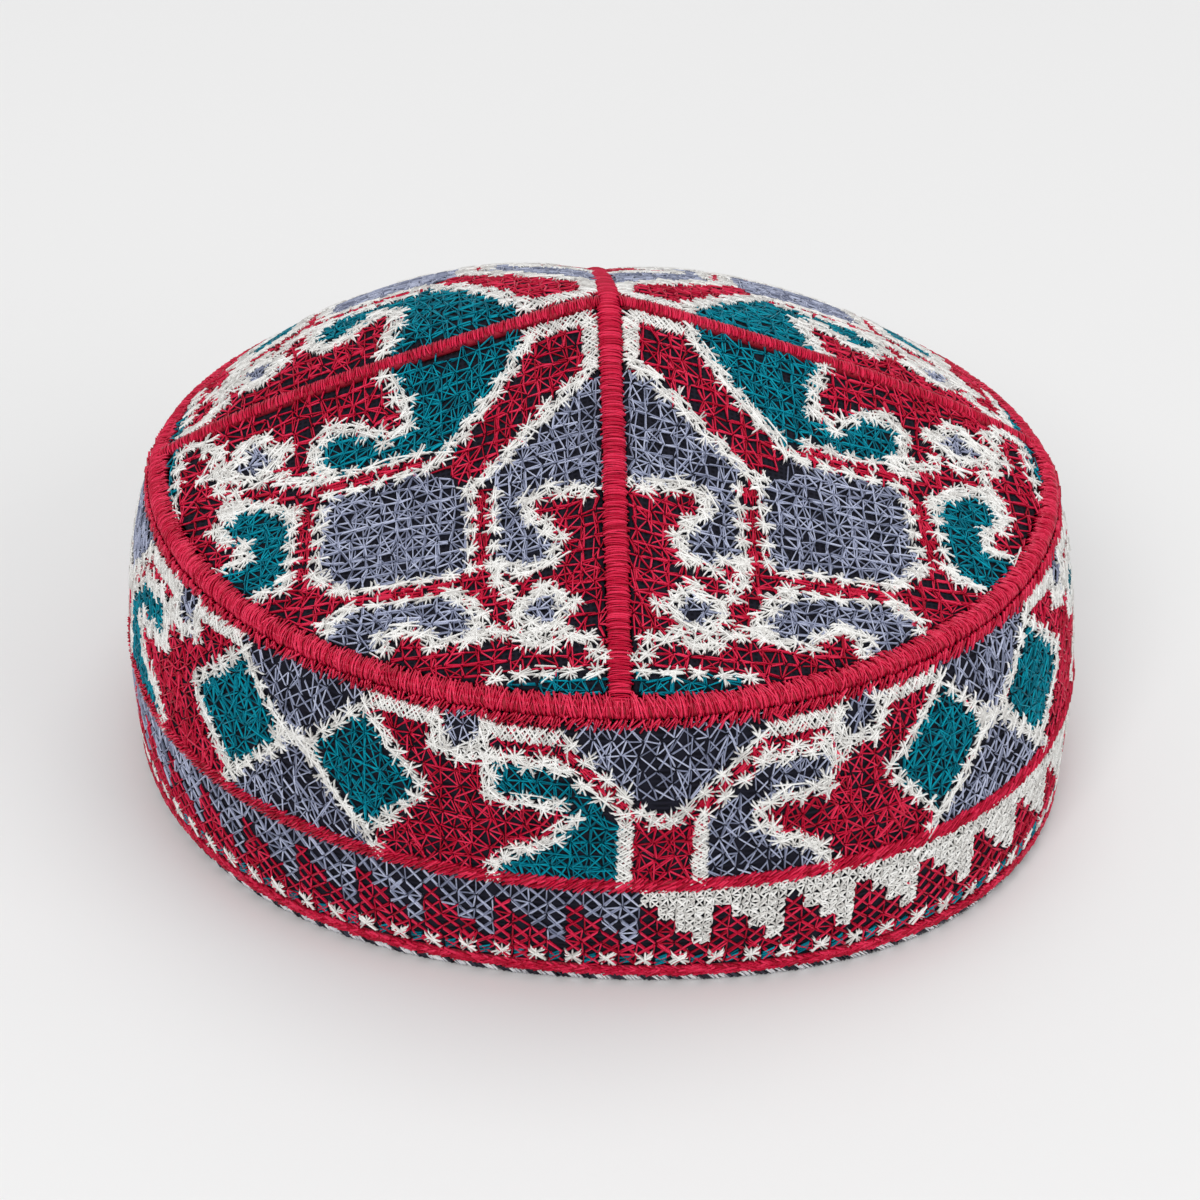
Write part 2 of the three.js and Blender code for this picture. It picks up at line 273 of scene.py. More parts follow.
# Crown stitches: an open net of glossy cotton thread in crimson, slate and teal over the
# dark cloth, outlined by close cream stars. The pattern is counted in cells from the rib
# in front or behind (across) and from the rib at the side (down), and turns over at each.
CROWN_CELL = 4.85 * MM
CROWN_AREAS = [
    # colour, colour beyond the diagonal, outline
    ("slate", "teal", [
        (0.2, 3.5), (2.5, 4.5), (4.0, 5.8), (5.3, 7.3), (5.0, 8.2), (5.0, 12.0), (4.4, 12.6),
        (3.4, 12.8), (2.5, 12.2), (2.4, 11.3), (3.1, 10.3), (3.7, 9.6), (3.4, 8.9), (2.5, 8.8),
        (1.5, 9.2), (0.2, 9.4),
    ]),
    ("slate", "slate", [
        (6.1, 7.6), (7.6, 6.1), (12.2, 6.1), (12.2, 11.0), (11.0, 12.2), (6.1, 12.2),
    ]),
    ("slate", "teal", [
        (5.5, 15.4), (6.3, 14.0), (7.0, 13.4), (10.9, 13.4), (11.7, 14.3), (11.9, 15.3),
        (11.4, 16.8), (9.6, 17.8), (9.4, 16.6), (9.4, 15.6), (8.7, 15.2), (7.9, 15.6),
        (7.2, 16.3), (6.2, 16.3),
    ]),
    ("slate", "slate", [(3.0, 14.0), (4.2, 15.0), (3.0, 16.5), (1.8, 15.1)]),
    ("teal", "teal", [(0.2, 18.3), (4.8, 18.3), (4.8, 20.8), (0.2, 20.8)]),
]
CROWN_LINES = [
    # half width, points
    (0.33, [(0.78, 3.3), (2.5, 4.5), (4.0, 5.8), (5.9, 7.6)]),
    (0.29, [
        (0.5, 9.3), (1.5, 9.1), (2.5, 8.7), (3.4, 8.8), (3.7, 9.6), (3.0, 10.4), (2.4, 11.2),
        (2.4, 12.0), (2.9, 12.6), (3.8, 12.7), (4.6, 12.1),
    ]),
    (0.26, [(4.8, 12.2), (5.0, 12.9), (4.2, 14.1)]),
    (0.29, [(2.8, 13.9), (4.1, 15.0), (3.1, 16.5), (1.7, 15.1), (2.8, 13.9)]),
    (0.27, [
        (0.6, 17.9), (1.2, 17.1), (2.0, 16.5), (3.1, 17.2), (3.9, 16.4), (4.8, 16.0), (5.6, 16.1),
    ]),
    (0.27, [(5.6, 16.1), (5.4, 15.2), (6.0, 14.1), (6.8, 13.4)]),
    (0.27, [(10.9, 13.4), (11.6, 14.2), (11.8, 15.3)]),
    (0.29, [
        (5.6, 16.1), (6.3, 16.4), (7.2, 16.4), (7.9, 15.6), (8.7, 15.2), (9.4, 15.6), (9.3, 16.8),
    ]),
]
CROWN_BARS = [
    # from, to, half width: solid bars of crossed cream threads
    ((0.80, 0.9), (0.80, 3.2), 0.36),
]
CROWN_STAR_ROWS = [
    # from, to, stars
    ((5.95, 8.0), (5.95, 12.0), 5),
    ((5.0, 8.3), (5.0, 12.0), 5),
    ((6.9, 12.3), (10.9, 12.3), 5),
    ((6.6, 13.4), (10.8, 13.4), 5),
    ((11.3, 12.0), (12.0, 11.3), 2),
    ((0.9, 18.4), (4.8, 18.4), 5),
]
CROWN_DASH_ROWS = [
    # from, to, dashes
    ((5.48, 8.5), (5.48, 11.7), 4),
    ((7.2, 12.85), (10.6, 12.85), 4),
]
# How far the real stitching drifts down each gore from the ideal count, in cells
DRIFT_AT = [0, 3.5, 6, 12, 13.2, 15, 18.5, 21]
DRIFT = {
    "front_left": [0, 0.6, 0.9, 0.8, 0.7, 0.3, 0.1, 0],
    "front_right": [0, 0.1, 0.6, 0.6, 0.6, 0.4, 0.1, 0],
    "back_right": [0, 0, 0.1, 0.1, 0.1, 0, 0, 0],
    "back_left": [0, 0.6, 0.9, 0.8, 0.7, 0.3, 0.1, 0],
}
COLOURS = ["crimson", "slate", "teal", "cream", "bare"]
STAR_ROW_HALF = 0.14


def inside(u, v, outline):
    result = np.zeros(u.shape, bool)
    for (u0, v0), (u1, v1) in zip(outline, outline[1:] + outline[:1]):
        if v0 == v1:
            continue
        crosses = (v0 > v) != (v1 > v)
        result ^= crosses & (u < (u1 - u0) * (v - v0) / (v1 - v0) + u0)
    return result


def near_line(u, v, line, half_width):
    result = np.zeros(u.shape, bool)
    for (u0, v0), (u1, v1) in zip(line[:-1], line[1:]):
        run_u, run_v = u1 - u0, v1 - v0
        along = ((u - u0) * run_u + (v - v0) * run_v) / (run_u**2 + run_v**2)
        along = np.clip(along, 0, 1)
        result |= np.hypot(u - u0 - along * run_u, v - v0 - along * run_v) < half_width
    return result


def turned_over(line):
    return [(v, u) for u, v in line]


def paint(u, v, areas, lines, bars, star_rows, other):
    """Thread colour at each place of a chart; other turns a line over the chart's axis."""
    colour = np.zeros(u.shape, int)
    for here, beyond, outline in areas:
        colour[inside(u, v, outline)] = COLOURS.index(here)
        colour[inside(u, v, other(outline))] = COLOURS.index(beyond)
    bare = [(half_width, [start, end]) for start, end, half_width in bars]
    bare += [(STAR_ROW_HALF, [start, end]) for start, end, _ in star_rows]
    for mark, courses in (("cream", lines), ("bare", bare)):
        for half_width, line in courses:
            for course in (line, other(line)):
                colour[near_line(u, v, course, half_width)] = COLOURS.index(mark)
    return colour


def crown_colour(u, v):
    rows = CROWN_STAR_ROWS + CROWN_DASH_ROWS
    return paint(u, v, CROWN_AREAS, CROWN_LINES, CROWN_BARS, rows, turned_over)


def bar_mesh(sides, cuts, ends):
    """A straight bar of radius 1 from -1 to 1, with its long edges cut across."""
    bpy.ops.mesh.primitive_cylinder_add(vertices=sides, radius=1, depth=2, end_fill_type=ends)
    bar = bpy.context.object
    if cuts:
        bpy.ops.object.mode_set(mode="EDIT")
        bpy.ops.mesh.select_mode(type="EDGE")
        bpy.ops.mesh.select_all(action="DESELECT")
        bpy.ops.object.mode_set(mode="OBJECT")
        for edge in bar.data.edges:
            low, high = (bar.data.vertices[index].co.z for index in edge.vertices)
            edge.select = abs(high - low) > 1
        bpy.ops.object.mode_set(mode="EDIT")
        bpy.ops.mesh.subdivide(number_cuts=cuts)
        bpy.ops.object.mode_set(mode="OBJECT")
    return bar


def thread_blank(rings):
    """One thread, modelled once: three-sided, with a point at each end."""
    blank = bar_mesh(3, rings - 2, "TRIFAN")
    points = vertex_points(blank)
    blank.data.calc_loop_triangles()
    triangles = np.array([tri.vertices[:] for tri in blank.data.loop_triangles])
    bpy.data.objects.remove(blank)
    is_tip = np.hypot(points[:, 0], points[:, 1]) < 0.5
    ring = np.rint((points[:, 2] + 1) / 2 * (rings - 1)).astype(int) + 1
    station = np.where(is_tip, np.where(points[:, 2] > 0, rings + 1, 0), ring)
    return points, triangles, station


thread_blanks = {2: thread_blank(2), 6: thread_blank(6)}


def thread_group():
    """Tones of one thread colour: each thread has its own shade, mottled along its length, from
    Deep, which is partly painted shade, to Bright, which is partly a painted highlight.
    """
    group = bpy.data.node_groups.new("thread_tone_and_painted_light", "ShaderNodeTree")
    for socket in ("Deep", "Thread", "Bright"):
        group.interface.new_socket(socket, in_out="INPUT", socket_type="NodeSocketColor")
    group.interface.new_socket("Color", in_out="OUTPUT", socket_type="NodeSocketColor")
    nodes, links = group.nodes, group.links
    given = nodes.new("NodeGroupInput")
    result = nodes.new("NodeGroupOutput")
    flat_map = nodes.new("ShaderNodeUVMap")
    flat_map.uv_map = "OFBake"
    parts = nodes.new("ShaderNodeSeparateXYZ")
    links.new(flat_map.outputs["UV"], parts.inputs["Vector"])
    mottle = nodes.new("ShaderNodeTexNoise")
    mottle.inputs["Scale"].default_value = 18
    links.new(flat_map.outputs["UV"], mottle.inputs["Vector"])
    shade = nodes.new("ShaderNodeMath")
    shade.operation = "MULTIPLY_ADD"
    shade.inputs[1].default_value = 0.35
    links.new(mottle.outputs["Fac"], shade.inputs[0])
    links.new(parts.outputs["Y"], shade.inputs[2])
    last = given.outputs["Deep"]
    # Deep is partly painted shade and Bright partly a painted highlight, given to whole threads at
    # random
    for colour, low, high in (("Thread", 0.15, 0.65), ("Bright", 0.65, 1.2)):
        share = nodes.new("ShaderNodeMapRange")
        share.inputs["From Min"].default_value = low
        share.inputs["From Max"].default_value = high
        links.new(shade.outputs["Value"], share.inputs["Value"])
        mix = nodes.new("ShaderNodeMix")
        mix.data_type = "RGBA"
        links.new(share.outputs["Result"], mix.inputs["Factor"])
        links.new(last, mix.inputs[6])
        links.new(given.outputs[colour], mix.inputs[7])
        last = mix.outputs[2]
    links.new(last, result.inputs["Color"])
    return group


thread_tone_and_painted_light = thread_group()


def thread_material(name, deep, thread, bright, gloss, roughness=0.36, specular=0.45):
    material, nodes, links, shader = new_material(name, roughness)
    shader.inputs["Specular IOR Level"].default_value = specular
    shader.inputs["Specular Tint"].default_value = (*gloss, 1)
    dye = nodes.new("ShaderNodeGroup")
    dye.node_tree = thread_tone_and_painted_light
    for socket, colour in (("Deep", deep), ("Thread", thread), ("Bright", bright)):
        dye.inputs[socket].default_value = (*colour, 1)
    links.new(dye.outputs["Color"], shader.inputs["Base Color"])
    return material


THREAD_COLOURS_AND_PAINTED_LIGHT = [
    # name, deep (partly painted shade), thread, bright (partly painted highlight), gloss
    ("crimson", (0.28, 0.001, 0.012), (0.53, 0.003, 0.036), (0.82, 0.036, 0.105), (1, 0.34, 0.45)),
    ("slate", (0.115, 0.128, 0.20), (0.28, 0.31, 0.44), (0.56, 0.60, 0.77), (1, 1, 1)),
    ("teal", (0.0, 0.064, 0.098), (0.0, 0.165, 0.238), (0.002, 0.33, 0.44), (0.15, 0.9, 1)),
    ("cream", (0.52, 0.50, 0.48), (0.84, 0.83, 0.80), (0.97, 0.965, 0.95), (1, 1, 1)),
]
threads = {row[0]: thread_material(f"{row[0]}_thread", *row[1:]) for row in THREAD_COLOURS_AND_PAINTED_LIGHT}


chance = np.random.default_rng(7)


def sew(name, material, path, up, widths, darkest=0, flatness=1):
    """Joins threads into one mesh. Path and up give each thread's places from tip to tip,
    widths the thinnest and the thickest in mm, and darkest the lowest shade, up to 1. The shade
    sets each thread's colour between deep, partly painted shade, and bright, partly a painted
    highlight."""
    width = chance.uniform(*widths, len(path)) * MM
    shade = chance.uniform(darkest, 1, len(path))
    blank, triangles, station = thread_blanks[path.shape[1] - 2]
    run = path[:, -1] - path[:, 0]
    side = unit_length(np.cross(up[:, up.shape[1] // 2], run))
    is_body = np.hypot(blank[:, 0], blank[:, 1]) > 0.5
    across, rise = blank[:, 0] * is_body, blank[:, 1] * is_body
    half = width[:, None, None] / 2
    points = path[:, station] + half * (
        across[None, :, None] * side[:, None] + flatness * rise[None, :, None] * up[:, station]
    )
    count = len(blank)
    faces = triangles[None] + (np.arange(len(path)) * count)[:, None, None]
    mesh = bpy.data.meshes.new(name)
    mesh.from_pydata(points.reshape(-1, 3), [], faces.reshape(-1, 3).tolist())
    flat = np.zeros((len(path), count, 2))
    flat[:, :, 0] = 0.02 + 0.96 * station[None] / station.max()
    flat[:, :, 1] = 0.03 + 0.94 * shade[:, None] + 0.004 * rise[None] + 0.002 * across[None]
    mesh.uv_layers.new(name="OFBake")
    mesh.uv_layers["OFBake"].data.foreach_set("uv", flat.reshape(-1, 2)[faces.ravel()].ravel())
    mesh.shade_smooth()
    mesh.materials.append(material)
    piece = bpy.data.objects.new(name, mesh)
    bpy.context.scene.collection.objects.link(piece)
    return piece


BEND = 0.13


def straight_path(start, end, up, lift, sink):
    """Four places of threads that come up through the cloth, run straight and go down."""
    shares = np.array([0, BEND, 1 - BEND, 1])[None, :, None]
    path = start[:, None] * (1 - shares) + end[:, None] * shares
    down = np.full_like(lift, -sink)
    height = np.stack([down, lift, lift, down], -1)[..., None]
    ups = np.repeat(up[:, None], 4, axis=1)
    return path + height * ups, ups


def joined(pairs):
    """Starts and ends, or paths and ups, of several sets of threads as one set."""
    return tuple(np.concatenate(half) for half in zip(*pairs))


def spread_round(count, stray):
    """Angles of stitches evenly round the cap, each a little out of its place."""
    return np.linspace(0, 2 * math.pi, count, endpoint=False) + chance.normal(0, stray, count)


def way(angle):
    return np.stack([np.cos(angle), np.sin(angle)], -1)


def net_nodes(u_range, v_range, pitch, shake):
    """Rows of needle holes as two grids, every other row a little to the side."""
    u, v = np.meshgrid(np.arange(*u_range, pitch), np.arange(*v_range, pitch))
    u = u + np.where(np.arange(u.shape[0])[:, None] % 2, 0.12 * pitch, -0.12 * pitch)
    stray = shake * pitch
    return u + chance.normal(0, stray, u.shape), v + chance.normal(0, stray, v.shape)


def net_threads(colour_at, colour, nodes_u, nodes_v, plan, shake):
    """Threads from hole to hole: plan gives the steps across and down and how many threads
    lie along each. They run on under cream stitches, and stop at another colour."""
    own = COLOURS.index(colour)
    passable = [own, COLOURS.index("cream"), COLOURS.index("bare")]
    rows, columns = nodes_u.shape
    row, column = (index.ravel() for index in np.indices(nodes_u.shape))
    sets = []
    for across, down, threads_each in plan:
        for turn in range(math.ceil(threads_each)):
            chosen = chance.uniform(0, 1, row.shape) < threads_each - turn
            chosen &= (column + across >= 0) & (column + across < columns) & (row + down < rows)
            near = row[chosen], column[chosen]
            far = row[chosen] + down, column[chosen] + across
            start = np.stack([nodes_u[near], nodes_v[near]], -1)
            end = np.stack([nodes_u[far], nodes_v[far]], -1)
            start = start + chance.normal(0, shake, start.shape)
            end = end + chance.normal(0, shake, end.shape)
            marks = [start + (end - start) * share for share in (0.15, 0.33, 0.5, 0.67, 0.85)]
            colours = np.stack([colour_at(mark[:, 0], mark[:, 1]) for mark in marks])
            fits = np.isin(colours, passable).all(0) & (colours == own).any(0)
            sets.append((start[fits], end[fits]))
    return joined(sets)


def stars_at(u, v, along, size):
    """Eight spokes to each star, and two longer threads that reach for the next one."""
    sets = []
    for spoke in range(10):
        turn, longer = (spoke * 22.5, 1.0) if spoke < 8 else (0, 1.35)
        angle = along + np.radians(turn + chance.normal(0, 11, u.shape))
        half = size / 2 * longer * chance.uniform(0.62, 1.25, u.shape)
        middle = np.stack([u, v], -1) + chance.normal(0, 0.09 * size, (len(u), 2))
        run = half[:, None] * way(angle)
        sets.append((middle - run, middle + run))
    return joined(sets)


def both_ways(rows, other):
    """The two ends of each row and its last value, as charted and turned over."""
    for *ends, value in rows:
        for first, last in (ends, other(ends)):
            yield *first, *last, value


def star_threads(rows, other, size):
    sets = []
    for u0, v0, u1, v1, count in both_ways(rows, other):
        u, v = np.linspace(u0, u1, count), np.linspace(v0, v1, count)
        sets.append(stars_at(u, v, math.atan2(v1 - v0, u1 - u0), size))
    return joined(sets)


def chain_threads(lines, other, spacing, size):
    """Stars along each line, close enough to run into each other."""
    sets = []
    for _, line in lines:
        for course in (line, other(line)):
            corners = np.array(course, float)
            reach = np.concatenate([[0], np.cumsum(np.hypot(*np.diff(corners, axis=0).T))])
            marks = np.linspace(0, reach[-1], max(2, round(reach[-1] / spacing) + 1))
            u, v = np.interp(marks, reach, corners[:, 0]), np.interp(marks, reach, corners[:, 1])
            along = np.arctan2(np.gradient(v), np.gradient(u))
            stagger = 0.16 * size * np.where(np.arange(len(u)) % 2, 1, -1)
            u = u - stagger * np.sin(along) + chance.normal(0, 0.05 * size, u.shape)
            v = v + stagger * np.cos(along) + chance.normal(0, 0.05 * size, v.shape)
            sets.append(stars_at(u, v, along, size))
    return joined(sets)


def dash_threads(rows, other, size):
    """A small bundle of threads that lie along the row, at each place of a row."""
    sets = []
    for u0, v0, u1, v1, count in both_ways(rows, other):
        u, v = np.linspace(u0, u1, count), np.linspace(v0, v1, count)
        along = math.atan2(v1 - v0, u1 - u0)
        for strand in range(6):
            aside = (strand - 2.5) * 0.09 * size + chance.normal(0, 0.02, u.shape)
            angle = along + np.radians(chance.normal(0, 8, u.shape))
            half = 0.5 * size * chance.uniform(0.8, 1.15, u.shape)
            middle = np.stack([u - aside * math.sin(along), v + aside * math.cos(along)], -1)
            run = half[:, None] * way(angle)
            sets.append((middle - run, middle + run))
    return joined(sets)


def bar_threads(bars, other, pitch):
    """Solid bars: threads that cross the bar at a slant, first one way and then the other."""
    sets = []
    for u0, v0, u1, v1, half_width in both_ways(bars, other):
        length = math.hypot(u1 - u0, v1 - v0)
        along = np.array([(u1 - u0) / length, (v1 - v0) / length])
        across = np.array([-along[1], along[0]])
        for lean in (-0.55, 0.55, -0.9, 0.9):
            mark = np.arange(0, length, pitch * 2)
            mark = mark + chance.normal(0, 0.3 * pitch, mark.shape)
            middle = np.array([u0, v0]) + mark[:, None] * along
            wide = half_width * chance.uniform(0.7, 1.35, mark.shape)
            run = wide[:, None] * (across + lean * along)
            sets.append((middle - run, middle + run))
    return joined(sets)


# Distance along the cloth from the apex against distance in plan, for every direction
TABLE_TURN = 1.5
TABLE_STEP = 0.5 * MM
table_angles = np.radians(np.arange(0, 361, TABLE_TURN))
table_plan = np.linspace(0, 100 * MM, 201)
table_length = np.linspace(0, 105 * MM, 211)
plan_at = []
for angle in table_angles:
    heights = crown_height(table_plan * np.cos(angle), table_plan * np.sin(angle))
    lengths = np.concatenate([[0], np.cumsum(np.hypot(np.diff(table_plan), np.diff(heights)))])
    plan_at.append(np.interp(table_length, lengths, table_plan))
plan_at = np.array(plan_at)


def plan_distance(angle, length):
    row = np.mod(angle, 2 * math.pi) / math.radians(TABLE_TURN)
    column = np.clip(length / TABLE_STEP, 0, len(table_length) - 1.01)
    row0 = np.minimum(row.astype(int), len(table_angles) - 2)
    column0 = column.astype(int)
    part, rest = row - row0, column - column0
    low = plan_at[row0, column0] * (1 - rest) + plan_at[row0, column0 + 1] * rest
    high = plan_at[row0 + 1, column0] * (1 - rest) + plan_at[row0 + 1, column0 + 1] * rest
    return low * (1 - part) + high * part


EDGE_MARGIN = 0.8 * MM


def crown_place(gore, place):
    """Place and normal on the crown of chart places in one gore, and where they are valid."""
    u, v = place[:, 0], place[:, 1]
    v = v + np.interp(v, DRIFT_AT, DRIFT[gore["name"]])
    length = np.hypot(u, v) * CROWN_CELL
    share = np.arctan2(v, u) / (math.pi / 2)
    angle = np.radians(gore["side"] + (gore["main"] - gore["side"]) * share)
    distance = plan_distance(angle, length)
    valid = (u > 0.05) & (v > 0.05) & (distance < edge_radius(angle) - EDGE_MARGIN)
    return *crown_surface(distance * np.cos(angle), distance * np.sin(angle)), valid


CROWN_NETS = {
    # colour: steps across and down, threads along each
    "crimson": [
        (1, 0, 1.7), (0, 1, 1.9), (2, 0, 0.4), (0, 2, 0.5), (1, 1, 0.45), (-1, 1, 0.45),
        (1, 2, 0.25),
    ],
    "slate": [
        (1, 0, 1.7), (0, 1, 2.1), (2, 0, 0.4), (0, 2, 0.6), (1, 1, 0.6), (-1, 1, 0.6), (-1, 2, 0.4),
    ],
    "teal": [
        (1, 0, 2.0), (0, 1, 2.2), (2, 0, 0.6), (0, 2, 0.8), (1, 1, 0.9), (-1, 1, 0.7), (1, 2, 0.4),
    ],
    "cream": [(1, 0, 0.3), (0, 1, 0.4), (1, 1, 0.2), (-1, 1, 0.2)],
}
CROWN_CHART = {
    "colour_at": crown_colour,
    "other": turned_over,
    "nets": CROWN_NETS,
    "lines": CROWN_LINES,
    "star_rows": CROWN_STAR_ROWS,
    "bars": CROWN_BARS,
    "dash_rows": CROWN_DASH_ROWS,
    # needle holes: across, down, pitch and how far they stray, and how far threads miss them
    "holes": ((0.12, 20.8), (0.12, 20.8), 0.60, 0.09, 0.045),
    "cream_holes": ((0.3, 20.5), (0.3, 20.5), 0.5, 0.12, 0.05),
    # spacing and size of chained stars, size of stars and dashes, pitch of bars
    "chain": (0.56, 0.96),
    "star": 0.92,
    "dash": 1.0,
    "bar": 0.11,
}
CREAM_LIFT = 0.80 * MM
NET_LIFT = 0.55 * MM
LIFT_SPREAD = 0.42 * MM
THREAD_SINK = 0.1 * MM
NET_WIDTHS = (0.32, 0.45)
THREAD_WIDTHS = dict.fromkeys(threads, NET_WIDTHS) | {"cream": (0.38, 0.50)}


def lay(place_of, patch, sets, high):
    """Threads between places of a chart, laid on the cloth of one gore or unit."""
    starts, ends = joined(sets)
    start, start_up, start_valid = place_of(patch, starts)
    end, end_up, end_valid = place_of(patch, ends)
    valid = start_valid & end_valid
    up = unit_length((start_up + end_up)[valid])
    lift = chance.uniform(high - LIFT_SPREAD, high, len(up))
    return straight_path(start[valid], end[valid], up, lift, THREAD_SINK)


def chart_threads(colour, chart, patches, place_of):
    """All threads of one colour in the gores or units that follow a chart."""
    is_cream = colour == "cream"
    other, laid = chart["other"], []
    for patch in patches:
        *holes, miss = chart["cream_holes" if is_cream else "holes"]
        nodes = net_nodes(*holes)
        sets = [net_threads(chart["colour_at"], colour, *nodes, chart["nets"][colour], miss)]
        if is_cream:
            sets.append(chain_threads(chart["lines"], other, *chart["chain"]))
            sets.append(star_threads(chart["star_rows"], other, chart["star"]))
            sets.append(bar_threads(chart["bars"], other, chart["bar"]))
        if colour == "crimson":
            sets.append(dash_threads(chart["dash_rows"], other, chart["dash"]))
        laid.append(lay(place_of, patch, sets, CREAM_LIFT if is_cream else NET_LIFT))
    return joined(laid)


for colour, thread in threads.items():
    path, ups = chart_threads(colour, CROWN_CHART, GORES, crown_place)
    piece = sew(f"crown_stitches_{colour}", thread, path, ups, THREAD_WIDTHS[colour])
    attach(piece, "root")

# Ribs: the seams between the gores, covered by close crimson satin stitch over a padded
# cord. One rib runs from front to back over the apex, and the two side ribs butt on it.
SATIN_PITCH = 0.34 * MM
RIB_TURNS = [186, 168, 135, 105, 75, 45, 12, -6]
RIBS = [
    # node, direction in degrees, half width, stitch rows start and end
    ("crown_rib_front_back", 90, RIB_HALF["main"], -edge_half_length, edge_half_length),
    ("crown_rib_left", 181, RIB_HALF["side"], 2.0 * MM, edge_half_width),
    ("crown_rib_right", 5, RIB_HALF["side"], 2.0 * MM, edge_half_width),
]

satin_pad, nodes, links, shader = new_material("satin_padding", 0.7)
place = nodes.new("ShaderNodeTexCoord")
speck = nodes.new("ShaderNodeTexNoise")
speck.inputs["Scale"].default_value = 900
links.new(place.outputs["Object"], speck.inputs["Vector"])
pad_colour = nodes.new("ShaderNodeValToRGB")
pad_colour.color_ramp.elements[0].color = (0.26, 0.001, 0.012, 1)
pad_colour.color_ramp.elements[1].color = (0.46, 0.003, 0.028, 1)
links.new(speck.outputs["Fac"], pad_colour.inputs["Fac"])
links.new(pad_colour.outputs["Color"], shader.inputs["Base Color"])


def ridge_place(direction, along):
    """Place on a ridge, and its across and up directions."""
    cos, sin = math.cos(direction), math.sin(direction)
    x, y = along * cos, along * sin
    run_x, run_y = SLOPE_STEP * cos, SLOPE_STEP * sin
    climb = crown_height(x + run_x, y + run_y) - crown_height(x - run_x, y - run_y)
    slope = climb / (2 * SLOPE_STEP)
    up = unit_length(np.stack([-slope * cos, -slope * sin, np.ones_like(slope)], -1))
    across = np.broadcast_to([-sin, cos, 0.0], up.shape)
    return np.stack([x, y, crown_height(x, y)], -1), across, up


for node, degrees, half, rib_start, rib_end in RIBS:
    direction = math.radians(degrees)
    pad = bar_mesh(12, 80, "NGON")
    pad.name = pad.data.name = f"{node}_padding"
    shape = vertex_points(pad)
    inset = PIPING_RADIUS + CLEARANCE
    pad_end = rib_end - inset
    pad_start = rib_start + inset if rib_start < 0 else 2.6 * MM
    along = pad_start + (pad_end - pad_start) * (shape[:, 2] + 1) / 2
    centre, across, up = ridge_place(direction, along)
    rise = np.where(shape[:, 1] > 0, shape[:, 1] * (RIB_PROUD - 0.25 * MM), shape[:, 1] * CLOTH)
    move_vertices(pad, centre + across * shape[:, :1] * half * 0.93 + up * rise[:, None])
    bpy.ops.object.mode_set(mode="EDIT")
    bpy.ops.mesh.select_all(action="SELECT")
    bpy.ops.mesh.normals_make_consistent(inside=False)
    bpy.ops.object.mode_set(mode="OBJECT")
    bpy.ops.object.shade_smooth_by_angle(angle=math.radians(50))
    pad.data.materials.append(satin_pad)
    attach(pad, "root")
    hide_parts(node)

    count = int((rib_end - rib_start) / SATIN_PITCH)
    station = np.linspace(rib_start, rib_end - 0.6 * MM, count) + chance.normal(0, 0.06 * MM, count)
    slant = chance.normal(0.05 * MM, 0.22 * MM, count)
    reach = half + chance.uniform(-0.45, 0.35, (2, count)) * MM
    path, ups = [], []
    swell = chance.normal(0, 0.04 * MM, count)
    for index, turn in enumerate(np.radians(RIB_TURNS)):
        share = index / (len(RIB_TURNS) - 1)
        centre, across, up = ridge_place(direction, station + slant * (share - 0.5) * 2)
        wide = reach[0] * (1 - share) + reach[1] * share
        aside = math.cos(turn) * wide
        flattened = math.copysign(abs(math.sin(turn)) ** 0.7, math.sin(turn))
        rise = flattened * (RIB_PROUD - 0.05 * MM) + swell
        path.append(centre + across * aside[:, None] + up * rise[:, None])
        ups.append(unit_length(across * math.cos(turn) + up * math.sin(turn)))
    path, ups = np.stack(path, 1), np.stack(ups, 1)
    satin = sew(f"{node}_satin", threads["crimson"], path, ups, (0.44, 0.58), 0.15, flatness=0.6)
    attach(satin, "root")

# Crown edge: a padded piping between crown and band, wound with close crimson satin
# stitch that slants a little and bites unevenly into the crown's cloth.
RING_SEGMENTS = 180
UP = np.array([0, 0, 1.0])


def ring_mesh(name, sides):
    """A ring to be bent to shape: its angles, and how far out and up its cord reaches."""
    bpy.ops.mesh.primitive_torus_add(
        major_radius=1, minor_radius=0.25, major_segments=RING_SEGMENTS, minor_segments=sides
    )
    ring = bpy.context.object
    ring.name = ring.data.name = name
    bpy.ops.object.shade_smooth()
    shape = vertex_points(ring)
    outward = (np.hypot(shape[:, 0], shape[:, 1]) - 1) / 0.25
    return ring, np.arctan2(shape[:, 1], shape[:, 0]), outward, shape[:, 2] / 0.25


def round_place(radius, angle, height):
    return np.stack([radius * np.cos(angle), radius * np.sin(angle), height], -1)


def wound(middle, slant, turns, wide, centre_at):
    """Threads wound over a cord at a slant, and the way that each of their places faces."""
    path, ups = [], []
    for index, turn in enumerate(np.radians(turns)):
        angle = middle + slant * (index / (len(turns) - 1) - 0.5)
        out = round_place(1, angle, np.zeros_like(angle))
        normal = out * math.cos(turn) + UP * math.sin(turn)
        path.append(centre_at(angle) + normal * wide[:, None])
        ups.append(normal)
    return np.stack(path, 1), np.stack(ups, 1)


def piping_centre(angle):
    return round_place(edge_radius(angle), angle, piping_height(angle))


pad, angle, outward, upward = ring_mesh("crown_edge_padding", 14)
pad_radius = PIPING_RADIUS - 0.2 * MM
radius = edge_radius(angle) + outward * pad_radius
height = piping_height(angle) + upward * pad_radius
move_vertices(pad, round_place(radius, angle, height))
pad.data.materials.append(satin_pad)
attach(pad, "root")
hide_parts("crown_edge_piping")

PIPING_TURNS = [150, 118, 98, 70, 42, 12, -20, -52]
ENTRY_LIFT = 0.42 * MM


